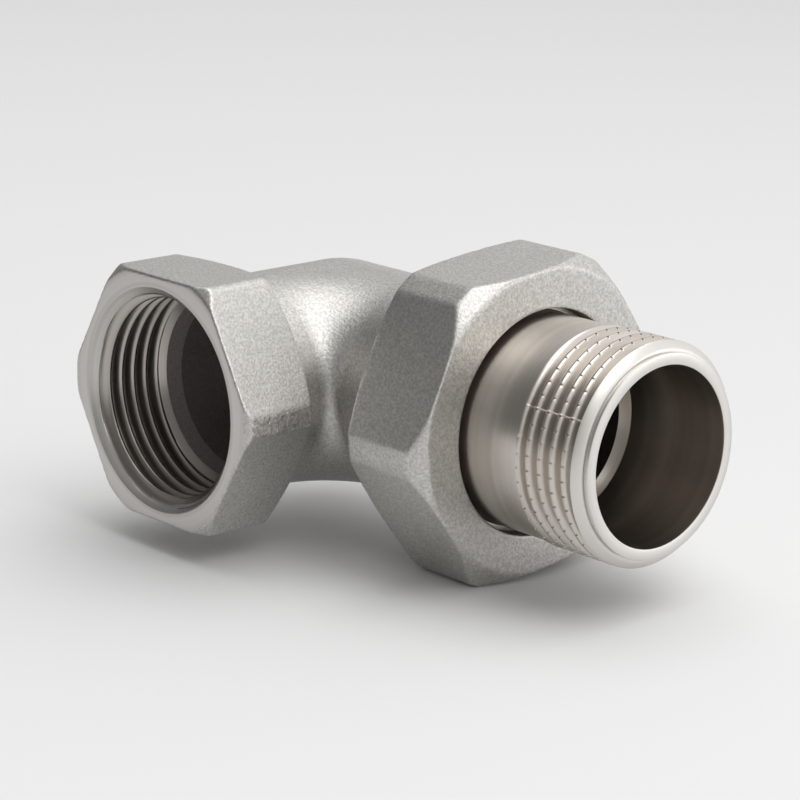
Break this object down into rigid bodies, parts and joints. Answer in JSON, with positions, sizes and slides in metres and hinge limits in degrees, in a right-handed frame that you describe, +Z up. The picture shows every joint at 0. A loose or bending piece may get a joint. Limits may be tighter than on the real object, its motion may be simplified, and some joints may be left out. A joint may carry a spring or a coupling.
{
  "type": "union elbow",
  "caption": "Stainless pipe elbow with a hexagonal female threaded end and a union nut that holds a turned male threaded tailpiece at right angles to it.",
  "frame": {"origin": "bottom centre of the bounding box, level with the lowest edge of the union nut", "axes": "+Z up, square to the plane of the two pipe axes; +X along the union and out of the male end; the female end faces -Y"},
  "size_m": [0.0896, 0.062, 0.048],
  "materials": {
    "cast_steel": "blasted stainless casting",
    "nut_steel": "blasted stainless casting",
    "turned_steel": "turned stainless",
    "seal": "white fluoroplastic"
  },
  "bodies": {
    "elbow": {"elbow_body": "cast_steel"},
    "seal": {"seal_washer": "seal"},
    "nut": {"union_nut": "nut_steel"},
    "tail": {"tailpiece": "turned_steel"}
  },
  "joints": [
    {"name": "union_travel", "type": "slide", "parent": "elbow", "child": "seal", "axis": [1, 0, 0], "range_m": [0, 0.00693]},
    {"name": "nut_turn", "type": "hinge", "parent": "seal", "child": "nut", "pos_m": [0.01333, 0.00549, 0.02408], "axis": [1, 0, 0], "range_deg": [0, 1080]},
    {"name": "tail_swivel", "type": "hinge", "parent": "seal", "child": "tail", "pos_m": [0.01833, 0.00549, 0.02408], "axis": [1, 0, 0], "continuous": true}
  ],
  "couplings": [
    {"joint": "union_travel", "follows": "nut_turn", "m_per_rad": 0.00036749}
  ]
}
